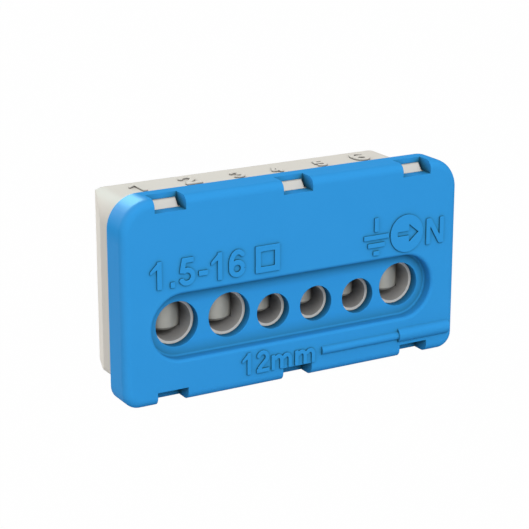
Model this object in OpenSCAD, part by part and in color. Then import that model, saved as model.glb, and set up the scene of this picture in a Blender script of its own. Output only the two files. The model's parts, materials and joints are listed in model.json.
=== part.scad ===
// Six-way screw terminal block. A moulded front cover snaps over a moulded rear
// housing. The housing holds one drilled metal bar, and six clamp screws run in
// the bar's tapped holes and press each wire down in its bore.
// The origin is the middle of the flat back; X runs across, the face looks along -Y.

/* [Overall] */
// Width of the front cover
cover_w = 49.6; // [47:0.1:60]
// Height of the front cover
cover_h = 26.8; // [25:0.1:34]
// Depth from the face of the cover to the back of the housing
total_depth = 15.2; // [13.5:0.1:20]
// Play between the cover and the housing
fit_gap = 0.1; // [0.05:0.05:0.2]

/* [Front cover] */
// Depth of the cover from its face to its rear rim
cover_depth = 4.3; // [4:0.1:5]
// Thickness of the cover's rim
cover_wall = 1.65; // [1.4:0.05:2]
// Thickness of the cover's face
face_t = 1.75; // [1.5:0.05:2]
// Radius of the cover's upper corners
cover_top_r = 4.2; // [3.6:0.1:6]
// Radius of the cover's lower corners
cover_bottom_r = 2.2; // [1.8:0.1:4]
// Radius of the rounded edge around the face
face_edge_r = 1.1; // [0.4:0.05:1.4]

/* [Wire entries] */
// Height of the cover's middle above the axis of the large entries
entry_drop = 3.6; // [2:0.1:4.5]
// Diameter of the large entries in the cover
entry_d_large = 6; // [5.6:0.1:6.6]
// Diameter of the small entries in the cover
entry_d_small = 4.8; // [4.4:0.1:5.4]
// Distance between two large ways
pitch_large = 7.5; // [7:0.05:8]
// Distance between ways where one or both are small
pitch_small = 6.45; // [6.3:0.05:7]
// Half the height of the recess around the entries
recess_r = 4.35; // [3.6:0.025:4.8]
// Height of the recess's middle above the axis of the large entries
recess_rise = 0.1; // [0:0.025:0.4]
// How far the centres of the recess's round ends lie inside the outer ways
recess_inset = 0.1; // [0:0.05:0.4]
// Depth of the recess
recess_depth = 1.75; // [1:0.05:2]
// Radius of the rounded lip of the recess
recess_lip_r = 0.45; // [0.1:0.05:0.6]
// Radius of the fillet between the wall and the floor of the recess
recess_floor_r = 0.25; // [0.1:0.05:0.3]
// Thickness of the floor of the recess
floor_t = 1.35; // [1:0.05:1.6]
// Width of the collar that carries the floor behind the face
collar_t = 1.2; // [0.8:0.1:1.6]

/* [Snap windows] */
// Distance between neighbouring windows
window_pitch = 18.15; // [16:0.05:19]
// Width of a window
window_w = 4.3; // [3.5:0.1:6]
// Thickness of the strap left behind each window
strap_t = 1.6; // [1.2:0.1:1.9]
// Width of a hook
hook_w = 3.9; // [2.5:0.1:3.9]
// Height of a hook above the housing
hook_h = 1.05; // [0.6:0.05:1.2]

/* [Strip gauge] */
// Height of the cover's middle above the axis of the gauge
gauge_drop = 10.2; // [9.6:0.05:10.4]
// Length of the bare wire on the gauge, which is the length to strip
gauge_bare_l = 12; // [9:0.5:15]
// Width of the bare wire on the gauge
gauge_bare_w = 1.15; // [0.8:0.05:1.4]
// Height of the bare wire above the face
gauge_bare_proud = 0.45; // [0.2:0.05:0.5]
// Length of the sleeve on the gauge
gauge_sleeve_l = 8.1; // [5:0.1:10]
// Width of the sleeve on the gauge
gauge_sleeve_w = 1.95; // [1.6:0.05:2.2]
// Height of the sleeve above the face
gauge_sleeve_proud = 0.65; // [0.5:0.05:0.8]

/* [Rear housing] */
// Radius of the housing's upper corners
housing_top_r = 3; // [2:0.1:4]
// Radius of the housing's lower corners
housing_bottom_r = 0.7; // [0.4:0.1:2]
// Length of the tapered stretch at the rear of each side
taper_len = 5; // [3:0.1:6]
// How far each side tapers in at the back
taper_in = 1.7; // [0.5:0.1:1.8]
// Thickness of the housing's top, bottom and back
housing_wall = 1.5; // [1.2:0.1:1.8]
// Thickness of the ribs between the ways
rib_t = 1.2; // [0.8:0.1:1.4]
// Diameter of the driver holes over the large screws
driver_d_large = 4.4; // [3.6:0.1:4.8]
// Diameter of the driver holes over the small screws
driver_d_small = 3.6; // [3:0.1:4]

/* [Terminal bar] */
// Depth of the bar
bar_depth = 7.2; // [6.6:0.1:7.6]
// Distance from the outer ways to the ends of the bar
bar_end = 4.2; // [3.8:0.1:4.6]
// Height of the bar below the axis of the large bores
bar_below = 4.3; // [3.6:0.1:4.8]
// Height of the bar above the axis of the large bores
bar_above = 7; // [6:0.1:8]
// Diameter of the large wire bores
bore_d_large = 5.3; // [4.8:0.1:5.6]
// Diameter of the small wire bores
bore_d_small = 4.1; // [3.6:0.1:4.4]
// Play between the bar and the slot that holds it
bar_gap = 0.1; // [0.05:0.05:0.2]

/* [Clamp screws] */
// Diameter of the large screws
screw_d_large = 5; // [4.6:0.1:5.2]
// Diameter of the small screws
screw_d_small = 4; // [3.5:0.1:4.2]
// Length of a screw
screw_l = 10; // [9:0.1:10.5]
// Height of a closed screw's tip above the floor of its bore
tip_gap = 1.05; // [0.3:0.05:2]
// Chamfer at both ends of a screw
screw_chamfer = 0.4; // [0.2:0.05:0.6]
// Width of the driver slot
slot_w = 0.9; // [0.6:0.05:1.2]
// Depth of the driver slot and cross
slot_depth = 1.5; // [1:0.1:2]
// Length of the cross as a share of the screw's diameter
cross_share = 0.64; // [0.4:0.02:0.8]
// Radial play between a screw and its tapped hole
screw_gap = 0.05; // [0.03:0.01:0.1]

/* [Hidden] */
$fn = 72;
// Overshoot of a cut past the face that it opens
over = 1;
// The ways from left to right: true where the way is a large one
LARGE = [true, true, false, false, false, true];
last = len(LARGE) - 1;

// Depths, from the face to the back
face_y = -total_depth;
face_inner_y = face_y + face_t;
recess_y = face_y + recess_depth;
floor_back_y = max(recess_y, face_inner_y) + floor_t;
rim_y = face_y + cover_depth;
window_back_y = rim_y - strap_t;
housing_front_y = face_inner_y + fit_gap;
bar_back_y = floor_back_y + bar_depth;
screw_y = floor_back_y + bar_depth / 2;

// The housing's outline follows the inside of the cover
rim_inset = cover_wall + fit_gap;
housing_w = cover_w - 2 * rim_inset;
housing_h = cover_h - 2 * rim_inset;

// Each way's sizes and place; the floors of all the bores line up
function entry_d(way) = LARGE[way] ? entry_d_large : entry_d_small;
function bore_d(way) = LARGE[way] ? bore_d_large : bore_d_small;
function screw_d(way) = LARGE[way] ? screw_d_large : screw_d_small;
function driver_d(way) = LARGE[way] ? driver_d_large : driver_d_small;
function way_run(way) =
    way == 0 ? 0 : way_run(way - 1) + (LARGE[way - 1] && LARGE[way] ? pitch_large : pitch_small);
span = way_run(last);
function way_x(way) = way_run(way) - span / 2;
entry_z = -entry_drop;
recess_z = entry_z + recess_rise;
recess_span = span - 2 * recess_inset;
bore_floor_z = entry_z - bore_d_large / 2;
function way_z(way) = bore_floor_z + bore_d(way) / 2;
bar_l = span + 2 * bar_end;
bar_bottom_z = entry_z - bar_below;
bar_top_z = entry_z + bar_above;

// Extrudes an outline drawn in X and Z from depth y0 to depth y1
module slab(y0, y1)
    translate([0, y1, 0]) rotate([90, 0, 0]) linear_extrude(y1 - y0) children();

// Extrudes an outline drawn in Y and Z along X, about its middle
module bar_along_x(length)
    rotate([90, 0, 90]) linear_extrude(length, center = true) children();

// A rectangle with one radius at its upper corners and one at its lower corners
module rounded_plate(w, h, top_r, bottom_r) {
    translate([-w / 2, bottom_r - h / 2]) square([w, h - top_r - bottom_r]);
    translate([top_r - w / 2, h / 2 - top_r]) square([w - 2 * top_r, top_r]);
    translate([bottom_r - w / 2, -h / 2]) square([w - 2 * bottom_r, bottom_r]);
    for (side = [-1, 1]) {
        translate([side * (w / 2 - top_r), h / 2 - top_r]) circle(top_r);
        translate([side * (w / 2 - bottom_r), bottom_r - h / 2]) circle(bottom_r);
    }
}

// A slot with round ends around all the wire entries
module entry_slot(r) {
    translate([-recess_span / 2, recess_z - r]) square([recess_span, 2 * r]);
    for (side = [-1, 1]) translate([side * recess_span / 2, recess_z]) circle(r);
}

// What a rounded edge takes off a square corner, drawn from the centre of its radius
module edge_waste(r) {
    difference() {
        square(r + over);
        circle(r);
    }
}

// The waste of the rounded edge around the face
module face_edge_cut() {
    inset_z = cover_h / 2 - face_edge_r;
    inset_x = cover_w / 2 - face_edge_r;
    centre_y = face_y + face_edge_r;
    translate([0, centre_y, inset_z])
        bar_along_x(cover_w - 2 * cover_top_r) rotate(90) edge_waste(face_edge_r);
    translate([0, centre_y, -inset_z])
        bar_along_x(cover_w - 2 * cover_bottom_r) rotate(180) edge_waste(face_edge_r);
    for (side = [0, 1]) mirror([side, 0, 0]) {
        translate([inset_x, centre_y, cover_bottom_r - cover_h / 2])
            linear_extrude(cover_h - cover_top_r - cover_bottom_r) rotate(-90) edge_waste(face_edge_r);
        translate([cover_w / 2 - cover_top_r, centre_y, cover_h / 2 - cover_top_r])
            face_corner_cut(cover_top_r, 0);
        translate([cover_w / 2 - cover_bottom_r, centre_y, cover_bottom_r - cover_h / 2])
            face_corner_cut(cover_bottom_r, -90);
    }
}

// The same waste carried round a corner of radius r
module face_corner_cut(r, start)
    rotate([90, -start, 0]) rotate_extrude(angle = 90)
        translate([r - face_edge_r, 0]) edge_waste(face_edge_r);

// The waste of the rounded lip of the recess
module recess_lip_cut() {
    lip_r = recess_r + recess_lip_r;
    centre_y = face_y + recess_lip_r;
    translate([0, centre_y, recess_z + lip_r])
        bar_along_x(recess_span) rotate(180) edge_waste(recess_lip_r);
    translate([0, centre_y, recess_z - lip_r])
        bar_along_x(recess_span) rotate(90) edge_waste(recess_lip_r);
    for (side = [0, 1]) mirror([side, 0, 0])
        translate([recess_span / 2, centre_y, recess_z]) rotate([90, 90, 0]) rotate_extrude(angle = 180)
            translate([lip_r, 0]) mirror([1, 0]) edge_waste(recess_lip_r);
}

// The fillet between the wall and the floor of the recess, rooted in both
module recess_floor_fillet() {
    centre_r = recess_r - recess_floor_r;
    centre_y = recess_y - recess_floor_r;
    translate([0, centre_y, recess_z + centre_r])
        bar_along_x(recess_span) edge_waste(recess_floor_r);
    translate([0, centre_y, recess_z - centre_r])
        bar_along_x(recess_span) rotate(-90) edge_waste(recess_floor_r);
    for (side = [0, 1]) mirror([side, 0, 0])
        translate([recess_span / 2, centre_y, recess_z]) rotate([90, 90, 0]) rotate_extrude(angle = 180)
            translate([centre_r, 0]) mirror([0, 1]) edge_waste(recess_floor_r);
}

// Puts a shape at each of the six windows: three along the top, three along the bottom
module at_windows()
    for (side = [0, 1]) mirror([0, 0, side])
        for (place = [-1, 0, 1]) translate([place * window_pitch, 0, 0]) children();

// One stretch of the strip gauge: the rounded back of a wire half sunk in the face
module gauge_wire(left_x, length, w, proud) {
    r = (w * w / 4 + proud * proud) / (2 * proud);
    translate([left_x, face_y - proud + r, -gauge_drop]) rotate([0, 90, 0]) cylinder(r = r, h = length);
}

// The strip gauge: a sleeve that ends at the rounded edge, and the bare wire out of it
module strip_gauge() {
    sleeve_x = cover_w / 2 - face_edge_r - gauge_sleeve_l;
    gauge_wire(sleeve_x, gauge_sleeve_l, gauge_sleeve_w, gauge_sleeve_proud);
    gauge_wire(sleeve_x - gauge_bare_l, gauge_bare_l + gauge_sleeve_l / 2, gauge_bare_w, gauge_bare_proud);
}

// The moulded front cover with its recess, wire entries, strip gauge and snap windows
module front_cover() color("#3090d5") {
    difference() {
        union() {
            difference() {
                slab(face_y, rim_y) rounded_plate(cover_w, cover_h, cover_top_r, cover_bottom_r);
                slab(face_inner_y, rim_y + over)
                    rounded_plate(cover_w - 2 * cover_wall, cover_h - 2 * cover_wall,
                                  housing_top_r + fit_gap, housing_bottom_r + fit_gap);
                face_edge_cut();
                slab(face_y - over, recess_y) entry_slot(recess_r);
                recess_lip_cut();
            }
            difference() {
                slab(face_inner_y - face_t / 2, floor_back_y) entry_slot(recess_r + collar_t);
                slab(face_y - over, recess_y) entry_slot(recess_r);
            }
            recess_floor_fillet();
            strip_gauge();
        }
        for (way = [0:last])
            slab(recess_y - over, floor_back_y + over)
                translate([way_x(way), way_z(way)]) circle(d = entry_d(way));
        at_windows()
            translate([-window_w / 2, face_y - over, cover_h / 2 - rim_inset])
                cube([window_w, window_back_y - face_y + over, rim_inset + over]);
    }
}

// The sloped hook that holds the cover's strap
module hook() {
    hook_y = window_back_y - fit_gap / 2;
    base_z = housing_h / 2;
    bar_along_x(hook_w)
        polygon([[housing_front_y, base_z - housing_wall / 2], [housing_front_y, base_z],
                 [hook_y, base_z + hook_h], [hook_y, base_z - housing_wall / 2]]);
}

// The chamber around one way, between its ribs
module chamber(way) {
    left_x = way == 0 ? -bar_l / 2 - bar_gap : (way_x(way - 1) + way_x(way) + rib_t) / 2;
    right_x = way == last ? bar_l / 2 + bar_gap : (way_x(way) + way_x(way + 1) - rib_t) / 2;
    translate([left_x, housing_front_y - over, housing_wall - housing_h / 2])
        cube([right_x - left_x, over - housing_wall - housing_front_y, housing_h - 2 * housing_wall]);
}

// The moulded rear housing with its ribs, driver holes, seats for bar and collar, and hooks
module rear_housing() color("#dedcd4") {
    difference() {
        union() {
            difference() {
                slab(housing_front_y, 0)
                    rounded_plate(housing_w, housing_h, housing_top_r, housing_bottom_r);
                for (side = [0, 1]) mirror([side, 0, 0])
                    linear_extrude(housing_h + 2 * over, center = true)
                        polygon([[housing_w / 2, -taper_len], [housing_w / 2 - taper_in, 0],
                                 [housing_w / 2 - taper_in, over], [housing_w / 2 + over, over],
                                 [housing_w / 2 + over, -taper_len]]);
            }
            at_windows() hook();
        }
        for (way = [0:last]) {
            chamber(way);
            translate([way_x(way), screw_y, 0]) cylinder(d = driver_d(way), h = housing_h);
        }
        translate([-bar_l / 2 - bar_gap, housing_front_y - over, bar_bottom_z - bar_gap])
            cube([bar_l + 2 * bar_gap, bar_back_y - housing_front_y + over,
                  bar_top_z - bar_bottom_z + 2 * bar_gap]);
        slab(housing_front_y - over, floor_back_y + fit_gap) entry_slot(recess_r + collar_t + fit_gap);
    }
}

// The metal bar with a wire bore at each way, and a tapped hole that stops the screw when closed
module terminal_bar() color("#b5b5b0") {
    difference() {
        translate([-bar_l / 2, floor_back_y, bar_bottom_z])
            cube([bar_l, bar_depth, bar_top_z - bar_bottom_z]);
        for (way = [0:last]) {
            slab(floor_back_y - over, bar_back_y + over)
                translate([way_x(way), way_z(way)]) circle(d = bore_d(way));
            translate([way_x(way), screw_y, bore_floor_z + tip_gap - screw_gap])
                cylinder(d = screw_d(way) + 2 * screw_gap, h = bar_top_z - bore_floor_z + over);
        }
    }
}

// One clamp screw with a flat tip, and a slot and cross for the driver
module clamp_screw(way) color("#9a9b94") {
    r = screw_d(way) / 2;
    translate([way_x(way), screw_y, bore_floor_z + tip_gap]) difference() {
        rotate_extrude()
            polygon([[0, 0], [r - screw_chamfer, 0], [r, screw_chamfer],
                     [r, screw_l - screw_chamfer], [r - screw_chamfer, screw_l], [0, screw_l]]);
        translate([0, 0, screw_l - slot_depth / 2 + over / 2]) {
            cube([screw_d(way) + over, slot_w, slot_depth + over], center = true);
            cube([slot_w, screw_d(way) * cross_share, slot_depth + over], center = true);
        }
    }
}

front_cover();
rear_housing();
terminal_bar();
clamp_screw(0);  // clamp_screw_1
clamp_screw(1);  // clamp_screw_2
clamp_screw(2);  // clamp_screw_3
clamp_screw(3);  // clamp_screw_4
clamp_screw(4);  // clamp_screw_5
clamp_screw(5);  // clamp_screw_6
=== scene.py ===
import json
import math

import bpy
import numpy as np
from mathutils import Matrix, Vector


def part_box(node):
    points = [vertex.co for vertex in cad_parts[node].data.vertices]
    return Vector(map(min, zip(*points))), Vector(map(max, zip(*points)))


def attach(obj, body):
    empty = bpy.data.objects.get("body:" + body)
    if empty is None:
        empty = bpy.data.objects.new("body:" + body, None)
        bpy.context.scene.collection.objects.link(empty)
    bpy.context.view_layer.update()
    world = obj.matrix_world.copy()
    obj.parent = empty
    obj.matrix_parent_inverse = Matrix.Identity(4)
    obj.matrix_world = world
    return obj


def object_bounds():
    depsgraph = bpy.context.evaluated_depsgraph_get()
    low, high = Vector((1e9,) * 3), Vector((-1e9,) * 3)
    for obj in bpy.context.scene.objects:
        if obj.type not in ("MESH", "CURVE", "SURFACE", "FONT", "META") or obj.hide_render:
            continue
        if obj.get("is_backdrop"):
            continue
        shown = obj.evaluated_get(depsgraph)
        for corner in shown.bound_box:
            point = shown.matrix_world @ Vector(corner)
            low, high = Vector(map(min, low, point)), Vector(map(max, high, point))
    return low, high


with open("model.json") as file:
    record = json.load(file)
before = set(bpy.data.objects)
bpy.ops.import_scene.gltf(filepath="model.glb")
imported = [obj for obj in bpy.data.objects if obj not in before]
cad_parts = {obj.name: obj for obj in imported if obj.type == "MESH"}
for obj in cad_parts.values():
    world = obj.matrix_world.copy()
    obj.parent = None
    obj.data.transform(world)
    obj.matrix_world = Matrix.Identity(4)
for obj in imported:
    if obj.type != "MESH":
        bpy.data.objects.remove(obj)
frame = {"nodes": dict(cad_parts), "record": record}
cad_low, cad_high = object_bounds()

# The rear housing
# A warm off-white moulding with a fine matt grain, open at the front to take the metal parts.
# Moulded in one with it, a raised number stands on its top behind each driver hole.

MM = 0.001


class Signal:
    """A shader socket that takes part in arithmetic: each operator adds one Math node to its tree."""

    def __init__(self, socket):
        self.socket = socket

    def node(self, kind, settings, sockets, output):
        """Adds a node of this kind: its settings first, then values or links for its sockets."""
        tree = self.socket.id_data
        made = tree.nodes.new(kind)
        for name, value in settings.items():
            setattr(made, name, value)
        for name, value in sockets.items():
            if isinstance(value, Signal):
                tree.links.new(value.socket, made.inputs[name])
            else:
                made.inputs[name].default_value = value
        return Signal(made.outputs[output])

    def feed(self, socket):
        """Links this signal to a socket."""
        self.socket.id_data.links.new(self.socket, socket)

    def maths(self, operation, first, second):
        """One Math node on two signals or values."""
        return self.node("ShaderNodeMath", {"operation": operation}, {0: first, 1: second}, 0)

    def __add__(self, other):
        return self.maths("ADD", self, other)

    __radd__ = __add__

    def __sub__(self, other):
        return self.maths("SUBTRACT", self, other)

    def __rsub__(self, other):
        return self.maths("SUBTRACT", other, self)

    def __mul__(self, other):
        return self.maths("MULTIPLY", self, other)

    __rmul__ = __mul__

    def noise(self, scale, detail):
        """Cloudy noise from 0 to 1 at this place, with the given number of clouds per metre."""
        return self.node("ShaderNodeTexNoise", {}, {"Vector": self, "Scale": scale, "Detail": detail}, "Fac")

    def between(self, first, second):
        """Runs from the first colour to the second as this signal goes from 0 to 1."""
        return self.node("ShaderNodeMix", {"data_type": "RGBA"}, {0: self, 6: first, 7: second}, 2)

    def ramp(self, start, end):
        """Runs from 0 to 1 as this signal goes from start to end."""
        return self.node("ShaderNodeMapRange", {}, {"Value": self, "From Min": start, "From Max": end}, 0)

    def openness(self, reach, least, most, alone=False):
        """How free a surface is of others within reach: 0 up to the least open share of the sky above
        it, 1 from the most open share on."""
        settings = {"samples": 16, "only_local": alone}
        sky = self.node("ShaderNodeAmbientOcclusion", settings, {"Distance": reach}, "AO")
        return sky.ramp(least, most)


def colour(code):
    """The linear colour of a six-digit sRGB code."""
    srgb = np.array([int(code[start:start + 2], 16) for start in (0, 2, 4)]) / 255
    linear = np.where(srgb < 0.04045, srgb / 12.92, ((srgb + 0.055) / 1.055) ** 2.4)
    return (*linear.tolist(), 1.0)


def new_finish(name):
    """A fresh material: the material, its shader and the place on the piece in metres."""
    material = bpy.data.materials.new(name)
    material.use_nodes = True
    shader = material.node_tree.nodes["Principled BSDF"]
    place = Signal(material.node_tree.nodes.new("ShaderNodeTexCoord").outputs["Object"])
    return material, shader, place


def moulded_grain(place, shader, edge_radius):
    """Rounds the sharp edges of a moulding a little and gives its skin a fine spark-eroded grain."""
    edge = place.node("ShaderNodeBevel", {"samples": 8}, {"Radius": edge_radius}, 0)
    grain = {"Height": place.noise(scale=7000, detail=2), "Strength": 0.2, "Distance": 0.004 * MM,
             "Normal": edge}
    place.node("ShaderNodeBump", {}, grain, 0).feed(shader.inputs["Normal"])


def dress(node_name, finish):
    """Gives a CAD node this finish all over."""
    slots = frame["nodes"][node_name].data.materials
    slots.clear()
    slots.append(finish)


def off_white(name, edge_radius, alone):
    """The off-white plastic, with painted shade: greyer in its own corners, or in those that it forms with
    others too.
    """
    finish, shader, place = new_finish(name)
    plastic = place.noise(scale=160, detail=3).between(colour("d7d2c9"), colour("dbd6cd"))
    # Painted shade: the base colour turns dark grey in corners and creases within 0.8 mm, where shade falls
    painted_shade_mix = place.openness(reach=0.8 * MM, least=0.4, most=1, alone=alone)
    painted_shade_mix.between(colour("6b6a66"), plastic).feed(shader.inputs["Base Color"])
    (0.48 + 0.12 * place.noise(scale=2400, detail=2)).feed(shader.inputs["Roughness"])
    shader.inputs["Specular IOR Level"].default_value = 0.08
    moulded_grain(place, shader, edge_radius)
    return finish


dress("rear_housing", off_white("off_white_moulding", edge_radius=0.3 * MM, alone=True))


def both(first, second, radius):
    """How far points lie outside two shapes at once: the larger distance, rounded where they cross."""
    corner = np.hypot(np.maximum(first + radius, 0), np.maximum(second + radius, 0))
    return np.minimum(np.maximum(first, second) + radius, 0) + corner - radius


def stroke(plane, path, width, radius):
    """How far points lie outside a pen stroke: the distance to the nearest stretch of the path less
    half the width, with square ends whose corners have the given radius."""
    path = np.asarray(path, float)
    run = np.diff(path, axis=0)
    length = np.linalg.norm(run, axis=1)
    reach = plane[..., None, :] - path[:-1]
    along = (reach * run).sum(-1) / length
    foot = (np.clip(along, 0, length) / length)[..., None] * run
    outside = np.linalg.norm(reach - foot, axis=-1) - width / 2
    outside[..., 0] = both(outside[..., 0], -along[..., 0], radius)
    outside[..., -1] = both(outside[..., -1], along[..., -1] - length[-1], radius)
    return outside.min(-1)


def plate(plane, corners, radius):
    """How far points lie outside a convex outline whose corners run anticlockwise: the largest step
    past one of its sides, with the corners rounded."""
    corners = np.asarray(corners, float)
    run = np.roll(corners, -1, axis=0) - corners
    normal = np.stack([run[:, 1], -run[:, 0]], 1) / np.linalg.norm(run, axis=1, keepdims=True)
    steps = np.moveaxis(((plane[..., None, :] - corners) * normal).sum(-1), -1, 0)
    outside = steps[0]
    for step in steps[1:]:
        outside = both(outside, step, radius)
    return outside


def arc(centre, radii, start, end):
    """Points round an ellipse: centre plus radii times cosine and sine, from start to end in degrees."""
    points = 19
    turn = np.radians(np.linspace(start, end, points))
    return np.array(centre) + np.stack([np.cos(turn), np.sin(turn)], 1) * radii


# Every sign is drawn one cap height tall with a broad pen: its advance, its strokes and its plates
PEN = 0.185
SIGNS = {
    "1": (0.753, [[(0.45, 0), (0.45, 1)]], [[(0.1, 0.56), (0.4, 0.745), (0.46, 1), (0.43, 1), (0.1, 0.68)]]),
    "2": (0.753, [[*arc((0.37, 0.69), (0.22, 0.217), 172, -38), (0.16, 0.17)],
                  [(0.06, 0.0925), (0.69, 0.0925)]], []),
    "3": (0.753, [arc((0.36, 0.72), (0.2, 0.187), 165, -90),
                  arc((0.36, 0.31), (0.23, 0.217), 90, -165)], []),
    "4": (0.753, [[(0.46, 0.96), (0.12, 0.3)], [(0.07, 0.3), (0.65, 0.3)], [(0.48, 0), (0.48, 1)]], []),
    "5": (0.753, [[(0.2, 0.9075), (0.645, 0.9075)], [(0.285, 0.97), (0.185, 0.46)],
                  arc((0.38, 0.325), (0.235, 0.2325), 132, -162)], []),
    "6": (0.753, [arc((0.365, 0.315), (0.232, 0.2225), 0, 360),
                  [*arc((0.4, 0.5), (0.267, 0.4075), 42, 180), (0.133, 0.31)]], []),
    ".": (0.356, [[(0.2, 0), (0.2, 0.21)]], []),
    "-": (0.452, [[(0.08, 0.36), (0.445, 0.36)]], []),
    "m": (1.177, [[(0.13, 0), (0.13, 0.69)],
                  [*arc((0.385, 0.4), (0.17, 0.2), 150, 0), (0.555, 0)],
                  [*arc((0.805, 0.4), (0.17, 0.2), 150, 0), (0.975, 0)]], []),
    "N": (0.83, [[(0.093, 0), (0.093, 1)], [(0.688, 0), (0.688, 1)]],
          [[(0, 1), (0.565, 0), (0.78, 0), (0.215, 1)]]),
}
MARK_CORNER = 0.1 * MM


def lettering(plane, words, corner, height):
    """How far points lie outside a line of signs of this height that starts at the corner."""
    nearest = np.full(plane.shape[:2], np.inf)
    radius = MARK_CORNER / height
    for sign in words:
        advance, strokes, plates = SIGNS[sign]
        local = (plane - corner) / height
        shapes = [stroke(local, path, PEN, radius) for path in strokes]
        shapes += [plate(local, outline, radius) for outline in plates]
        nearest = np.minimum(nearest, height * np.minimum.reduce(shapes))
        corner = corner + np.array([advance * height, 0])
    return nearest


def cut_out(outside, low, high):
    """Triangles that fill an outline. On a fine grid the points up to a step outside are slid onto
    the outline along its slope, and the triangles that reach inside are kept. Gives the points, how
    deep each lies inside the outline, and the triangles."""
    step = 0.04 * MM
    least_depth = 0.3 * step
    least_slope = 1e-6
    axes = [np.arange(start, end + step, step) for start, end in zip(low, high)]
    plane = np.stack(np.meshgrid(*axes, indexing="ij"), -1)
    gap = outside(plane)
    slope = np.stack(np.gradient(gap, step), -1)
    slope /= np.maximum(np.linalg.norm(slope, axis=-1, keepdims=True), least_slope)
    inside = gap < 0
    usable = gap < step
    depth = np.where(inside, np.maximum(-gap, least_depth), np.where(usable, 0, -gap))
    plane = plane - (gap + depth)[..., None] * slope
    index = np.arange(gap.size).reshape(gap.shape)
    corners = [np.s_[:-1, :-1], np.s_[1:, :-1], np.s_[1:, 1:], np.s_[:-1, 1:]]
    a, b, c, d = (index[corner] for corner in corners)
    in_a, in_b, in_c, in_d = (inside[corner] for corner in corners)
    on_a, on_c = usable[corners[0]], usable[corners[2]]
    across = (~on_a | ~on_c | ((in_b | in_d) & ~in_a & ~in_c))[..., None]
    first = np.where(across, np.stack([a, b, d], -1), np.stack([a, b, c], -1))
    second = np.where(across, np.stack([b, c, d], -1), np.stack([a, c, d], -1))
    faces = np.concatenate([first.reshape(-1, 3), second.reshape(-1, 3)])
    faces = faces[usable.ravel()[faces].all(1) & inside.ravel()[faces].any(1)]
    used, faces = np.unique(faces, return_inverse=True)
    return plane.reshape(-1, 2)[used], depth.ravel()[used], faces.reshape(-1, 3)


def raised_mark(name, outside, low, high, place, relief, finish):
    """A mark that stands on a face. Its top is flat and rounded over at the rim by a quarter circle,
    a wall goes down round the border edges, and its base is sunk a little into the face."""
    rim = 0.07 * MM
    sunk = 0.1 * MM
    spots, depth, faces = cut_out(outside, low, high)
    edges = np.concatenate([faces[:, [0, 1]], faces[:, [1, 2]], faces[:, [2, 0]]])
    _, where, uses = np.unique(np.sort(edges, 1), axis=0, return_index=True, return_counts=True)
    start, end = edges[where[uses == 1]].T
    lift = relief - rim + np.sqrt(rim**2 - (rim - np.minimum(depth, rim)) ** 2)
    points = np.concatenate([place(spots, lift), place(spots, np.full(len(spots), -sunk))])
    under = len(spots)
    walls = np.stack([start, start + under, end + under, end], 1)
    base = faces[:, ::-1] + under
    mesh = bpy.data.meshes.new(name)
    mesh.from_pydata(points, [], faces.tolist() + walls.tolist() + base.tolist())
    mesh.polygons.foreach_set("use_smooth", np.arange(len(mesh.polygons)) < len(faces) + len(walls))
    mesh.materials.append(finish)
    mark = bpy.data.objects.new(name, mesh)
    bpy.context.scene.collection.objects.link(mark)
    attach(mark, "block")


mounts = {mount["name"]: mount for mount in frame["record"]["mounts"]}
housing_top = mounts["driver_hole_1"]["pos_m"][2]
LARGE_ENTRY_R_MM = 2.7
LARGE_NUMBER, SMALL_NUMBER = 3.7 * MM, 2.65 * MM
NUMBER_FOOT_Y = -4.9 * MM
NUMBER_RELIEF = 0.25 * MM
NUMBER_SHIFT = np.array([-0.07, -0.18, 0.24, -0.35, 0, 0.22]) * MM
NUMBER_MIDDLE, NUMBER_MARGIN = 0.38, 0.1
# The numbers' finish also paints shade where they meet the housing's top, which darkens their walls
number_finish = off_white("off_white_numbers", edge_radius=0.1 * MM, alone=False)


def on_housing_top(spots, lift):
    """Puts plan positions on the housing's top face, lifted along +Z."""
    return np.column_stack([spots, housing_top + lift])


for way in range(1, 7):
    entry = mounts[f"wire_entry_{way}"]
    size = LARGE_NUMBER if entry["dims"]["r_mm"] > LARGE_ENTRY_R_MM else SMALL_NUMBER
    middle = entry["pos_m"][0] + NUMBER_SHIFT[way - 1]
    corner = np.array([middle - NUMBER_MIDDLE * size, NUMBER_FOOT_Y])
    raised_mark(f"way_number_{way}", lambda plane: lettering(plane, str(way), corner, size),
                corner - NUMBER_MARGIN * size, corner + (1 + NUMBER_MARGIN) * size, on_housing_top,
                NUMBER_RELIEF, number_finish)

# The terminal bar
# One length of brass, drilled across for the wires and tapped from above for the screws, then
# nickel plated. The plating is satin, the drill leaves faint rings in the bores.

nickel, shader, place = new_finish("nickel_plating")
shader.inputs["Metallic"].default_value = 0.15
plating = place.noise(scale=420, detail=3).between(colour("d7d3cc"), colour("dfdbd4"))
# Painted shade: the base colour turns dark grey deep in the bores, where the bar's own walls close round
painted_shade_mix = place.openness(reach=6 * MM, least=0.2, most=0.95, alone=True)
painted_shade_mix.between(colour("6e6e71"), plating).feed(shader.inputs["Base Color"])
(0.42 + 0.12 * place.noise(scale=2600, detail=2)).feed(shader.inputs["Roughness"])
rings = place.node("ShaderNodeTexWave", {"wave_type": "BANDS", "bands_direction": "Y"},
                   {"Vector": place, "Scale": 900, "Distortion": 1.5, "Detail": 1}, "Fac")
bump = place.node("ShaderNodeBump", {}, {"Height": rings, "Strength": 0.2, "Distance": 0.01 * MM}, 0)
bump.feed(shader.inputs["Normal"])
dress("terminal_bar", nickel)

# The clamp screws
# Headless steel screws, turned from bar and zinc plated, with a flat tip that presses on the wire.
# The turning marks run round the shank.

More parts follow.
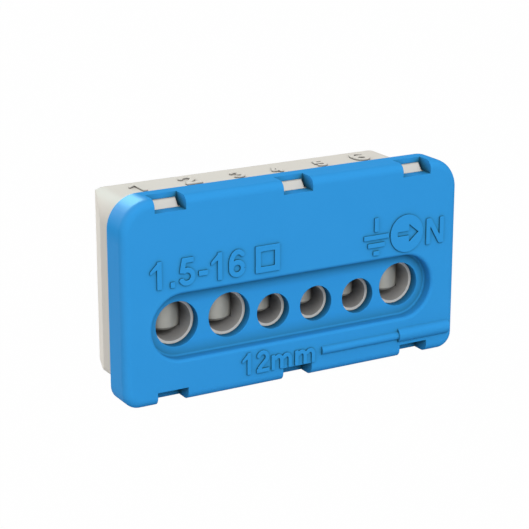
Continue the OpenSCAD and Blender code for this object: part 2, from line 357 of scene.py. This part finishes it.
zinc, shader, place = new_finish("zinc_plating")
shader.inputs["Metallic"].default_value = 0.4
plating = place.noise(scale=700, detail=3).between(colour("a5a49c"), colour("b4b3ab"))
# Painted shade: the base colour turns dark grey in creases and where other parts close round the screw
painted_shade_mix = place.openness(reach=1.2 * MM, least=0.4, most=1)
painted_shade_mix.between(colour("6f6e69"), plating).feed(shader.inputs["Base Color"])
(0.44 + 0.14 * place.noise(scale=3200, detail=2)).feed(shader.inputs["Roughness"])
turning = place.node("ShaderNodeTexWave", {"wave_type": "BANDS", "bands_direction": "Z"},
                     {"Vector": place, "Scale": 700, "Distortion": 0.8, "Detail": 1}, "Fac")
bump = place.node("ShaderNodeBump", {}, {"Height": turning, "Strength": 0.15, "Distance": 0.01 * MM}, 0)
bump.feed(shader.inputs["Normal"])
for way in range(1, 7):
    dress(f"clamp_screw_{way}", zinc)

# The front cover
# A blue moulding with a satin face that clips over the housing's hooks. Moulded in one with it, the
# wire sizes, the length to strip and the marks of the ways stand raised on the face.

blue, shader, place = new_finish("blue_moulding")
plastic = place.noise(scale=140, detail=3).between(colour("3196dc"), colour("3599df"))
# Painted shade: the base colour turns dark teal in corners and recesses, and darker still deep in the wire
# entries
painted_corner_shade = place.openness(reach=2 * MM, least=0.4, most=1).between(colour("2f7a9a"), plastic)
painted_hole_shade = place.openness(reach=6 * MM, least=0.29, most=0.53).between(colour("1f4a5c"), painted_corner_shade)
painted_hole_shade.feed(shader.inputs["Base Color"])
(0.7 + 0.12 * place.noise(scale=2200, detail=2)).feed(shader.inputs["Roughness"])
shader.inputs["Specular IOR Level"].default_value = 0.02
shader.inputs["Coat Roughness"].default_value = 0.4

# Its upper left corner is glossy behind the face's rounded edge, and both sides have a faint sheen
CORNER_GLOSS, SIDE_SHEEN = 0.7, 0.2
across, depth, height = (place.node("ShaderNodeSeparateXYZ", {}, {0: place}, axis) for axis in "XYZ")
glossy_corner = (0 - across).ramp(start=20.6 * MM, end=21.5 * MM)
glossy_corner *= height.ramp(start=9.9 * MM, end=12 * MM)
glossy_corner *= depth.ramp(start=-15 * MM, end=-14.2 * MM)
sheen_sides = across.maths("ABSOLUTE", across, 0).ramp(start=24.2 * MM, end=24.7 * MM)
sheen_sides *= height.ramp(start=9.4 * MM, end=7.9 * MM)
(CORNER_GLOSS * glossy_corner + SIDE_SHEEN * sheen_sides).feed(shader.inputs["Coat Weight"])
moulded_grain(place, shader, edge_radius=0.1 * MM)
dress("front_cover", blue)

COVER_DEPTH = 4.3 * MM
MARK_RELIEF = 0.24 * MM
face_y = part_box("front_cover")[1].y - COVER_DEPTH


def on_face(spots, lift):
    """Puts positions across and up on the cover's face, lifted along -Y."""
    return np.column_stack([spots[:, 0], face_y - lift, spots[:, 1]])


def block(plane, low, high):
    """How far points lie outside an upright rectangle with rounded corners."""
    sides = np.maximum(np.array(low) - plane, plane - np.array(high))
    return both(sides[..., 0], sides[..., 1], MARK_CORNER)


def wire_sizes(plane):
    """The range of wire sizes, and the open square that stands for square millimetres."""
    start, cap_height = np.array([-21.55, 1.9]) * MM, 3.65 * MM
    words = lettering(plane, "1.5-16", start, cap_height)
    square = np.array([-6.37, 1.92]) * MM
    side, ring = 3.58 * MM, 0.78 * MM
    outer = block(plane, square, square + side)
    inner = block(plane, square + ring, square + side - ring)
    return np.minimum(words, np.maximum(outer, -inner))


def strip_length(plane):
    """The length of wire to strip, beside the gauge."""
    start, cap_height = np.array([-8.67, -11.55]) * MM, 3.0 * MM
    return lettering(plane, "12mm", start, cap_height)


def way_marks(plane):
    """The earth sign and the letter of the neutral, with an arrow let into a disc between them."""
    axis, bar_height, gap = 11.83 * MM, 0.64 * MM, 0.45 * MM
    half_stem, stem_foot, stem_top = 0.32 * MM, 4.85 * MM, 6.74 * MM
    earth = block(plane, (axis - half_stem, stem_foot), (axis + half_stem, stem_top))
    foot = 1.62 * MM
    for half_bar in (0.46 * MM, 1.31 * MM, 1.95 * MM):
        bar = block(plane, (axis - half_bar, foot), (axis + half_bar, foot + bar_height))
        earth = np.minimum(earth, bar)
        foot += bar_height + gap
    disc_x, disc_z, disc_radius = 16.6 * MM, 4.0 * MM, 2.58 * MM
    disc = np.hypot(plane[..., 0] - disc_x, plane[..., 1] - disc_z) - disc_radius
    tail_start, tail_end, half_tail = disc_x - 1.45 * MM, disc_x + 0.5 * MM, 0.3 * MM
    tail = block(plane, (tail_start, disc_z - half_tail), (tail_end, disc_z + half_tail))
    head_start, head_tip, half_head = disc_x + 0.38 * MM, disc_x + 1.83 * MM, 1.2 * MM
    head = plate(plane, [(head_start, disc_z - half_head), (head_tip, disc_z),
                         (head_start, disc_z + half_head)], radius=0)
    token = both(disc, -np.minimum(tail, head), MARK_CORNER / 2)
    letter, cap_height = np.array([19.72, 1.95]) * MM, 3.62 * MM
    neutral = lettering(plane, "N", letter, cap_height)
    return np.minimum(np.minimum(earth, token), neutral)


for name, outside, low, high in (("wire_sizes", wire_sizes, (-22, 1.5), (-2.2, 6)),
                                 ("strip_length", strip_length, (-9, -12), (3.2, -8)),
                                 ("way_marks", way_marks, (9.4, 1), (23, 7.2))):
    raised_mark(name, outside, np.array(low) * MM, np.array(high) * MM, on_face, MARK_RELIEF, blue)

# The camera, the light and the floor
# The view is from the left and a little above, on a white floor. A large soft lamp lights the front,
# a weak one fills the left side, one behind lights the rear edges, and the last one shows only as the
# highlight on the upper left corner.

AIM = np.array([-3.975, -13.44, 2.301]) * MM
AZIMUTH, ELEVATION, DISTANCE = math.radians(29.656), math.radians(17.105), 227.32 * MM
FOCAL_PIXELS, PICTURE_PIXELS = 1774.76, 529
towards_camera = np.array([-math.sin(AZIMUTH) * math.cos(ELEVATION),
                           -math.cos(AZIMUTH) * math.cos(ELEVATION), math.sin(ELEVATION)])
lens = bpy.data.cameras.new("camera")
lens.sensor_width = 36.0
lens.lens = FOCAL_PIXELS / PICTURE_PIXELS * lens.sensor_width
lens.clip_start = 1 * MM
camera = bpy.data.objects.new("camera", lens)
camera.location = AIM + DISTANCE * towards_camera
camera.rotation_euler = (math.pi / 2 - ELEVATION, 0, -AZIMUTH)
bpy.context.scene.collection.objects.link(camera)
bpy.context.scene.camera = camera


def soft_box(name, direction, width, height, level, tint=(1, 1, 1)):
    """A lamp that looks at the object and lights a surface that faces it to the given level."""
    distance = 1.2
    lamp = bpy.data.lights.new(name, "AREA")
    lamp.shape = "RECTANGLE"
    lamp.size = width
    lamp.size_y = height
    lamp.color = tint
    lamp.energy = level * (math.pi * distance) ** 2
    direction = np.array(direction) / np.linalg.norm(direction)
    holder = bpy.data.objects.new(name, lamp)
    holder.location = AIM + distance * direction
    holder.rotation_euler = (math.acos(direction[2]), 0, math.atan2(direction[0], -direction[1]))
    bpy.context.scene.collection.objects.link(holder)
    return holder


soft_box("front", (-0.05, -0.82, 0.57), width=0.77, height=0.77, level=0.6)
soft_box("left", (-0.93, -0.33, 0.15), width=0.6, height=0.6, level=0.112)
behind = soft_box("behind", (-0.2, 0.96, 0.18), width=0.51, height=0.51, level=0.75)
behind.visible_glossy = False
highlight = soft_box("highlight", (0.06, 0.85, 0.48), width=0.54, height=0.36, level=0.44, tint=(0.46, 1, 1))
highlight.visible_diffuse = False

AMBIENT = 0.54


def seen_rays(tree):
    """1 for the rays that show the surroundings to the eye: camera, glossy and transmission rays."""
    rays = tree.nodes.new("ShaderNodeLightPath").outputs
    return Signal(rays["Is Camera Ray"]) + Signal(rays["Is Glossy Ray"]) + Signal(rays["Is Transmission Ray"])


world = bpy.data.worlds.new("studio")
world.use_nodes = True
sky = world.node_tree.nodes["Background"]
sky.inputs["Color"].default_value = (1, 1, 1, 1)
(AMBIENT + (1 - AMBIENT) * seen_rays(world.node_tree)).feed(sky.inputs["Strength"])
bpy.context.scene.world = world

FLOOR_HALF = 1.5
FLOOR_GREY, FLOOR_GLOW = 0.46, 0.992
rim_x, rim_y = FLOOR_HALF * np.array([[-1, 1, 1, -1], [-1, -1, 1, 1]])
floor_mesh = bpy.data.meshes.new("floor")
floor_mesh.from_pydata(np.column_stack([rim_x, rim_y, np.full(4, cad_low.z)]), [], [(0, 1, 2, 3)])
floor = bpy.data.objects.new("floor", floor_mesh)
floor.visible_shadow = False
bpy.context.scene.collection.objects.link(floor)
white, shader, place = new_finish("white_floor")
shader.inputs["Base Color"].default_value = (FLOOR_GREY, FLOOR_GREY, FLOOR_GREY, 1)
shader.inputs["Roughness"].default_value = 1.0
shader.inputs["Specular IOR Level"].default_value = 0.0
glow = white.node_tree.nodes.new("ShaderNodeEmission")
share = FLOOR_GLOW * seen_rays(white.node_tree)
shown = share.node("ShaderNodeMixShader", {},
                   {0: share, 1: Signal(shader.outputs[0]), 2: Signal(glow.outputs[0])}, 0)
shown.feed(white.node_tree.nodes["Material Output"].inputs["Surface"])
floor_mesh.materials.append(white)
floor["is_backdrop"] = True

bpy.context.scene.view_settings.view_transform = "Standard"

low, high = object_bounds()
